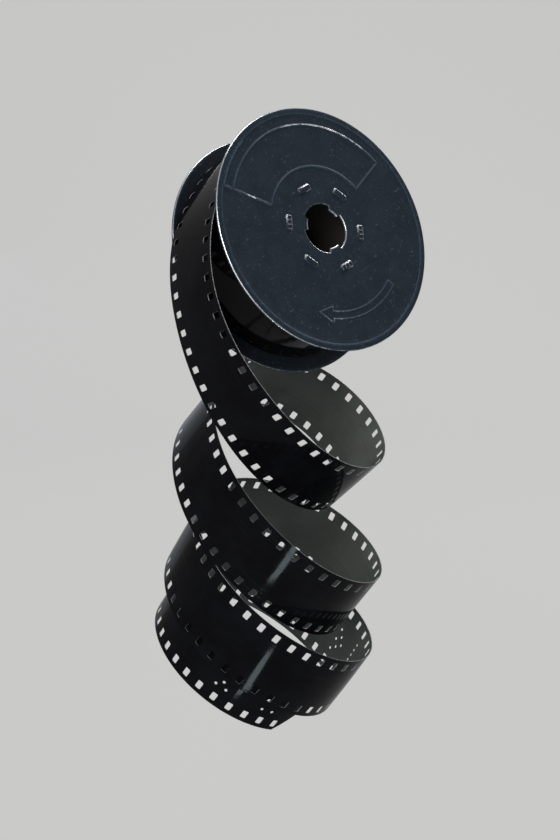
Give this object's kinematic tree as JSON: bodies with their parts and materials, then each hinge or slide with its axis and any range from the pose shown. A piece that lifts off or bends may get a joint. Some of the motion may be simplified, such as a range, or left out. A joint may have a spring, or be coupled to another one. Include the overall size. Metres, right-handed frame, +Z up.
{
  "type": "cine film spool",
  "caption": "Small sheet-metal spool wound with narrow perforated cine film, whose outer end has sprung off and hangs in loose curls.",
  "frame": {"origin": "middle of the spool's bore, halfway between the flanges, where a spindle holds the spool", "axes": "+Z up as the film hangs, -Y towards the viewer, +X to the viewer's right; the spool's own axis leans at (0.5498, -0.7296, 0.4067), towards the front flange"},
  "size_m": [0.0575, 0.0542, 0.1274],
  "materials": {
    "flange": "satin enamel, worn bright at the edges",
    "hub": "dull plated sheet, staked tabs worn bright",
    "film": "glossy base outside, matte emulsion inside"
  },
  "bodies": {
    "spool": {"front_flange": "flange", "rear_flange": "flange", "hub": "hub", "film_pack": "film", "outer_turn": "film"},
    "film": {"free_film": "film"}
  },
  "joints": [
    {"name": "film_winding", "type": "hinge", "parent": "spool", "child": "film", "pos_m": [0, 0, 0], "axis": [0.5498, -0.7296, 0.4067], "continuous": true}
  ]
}
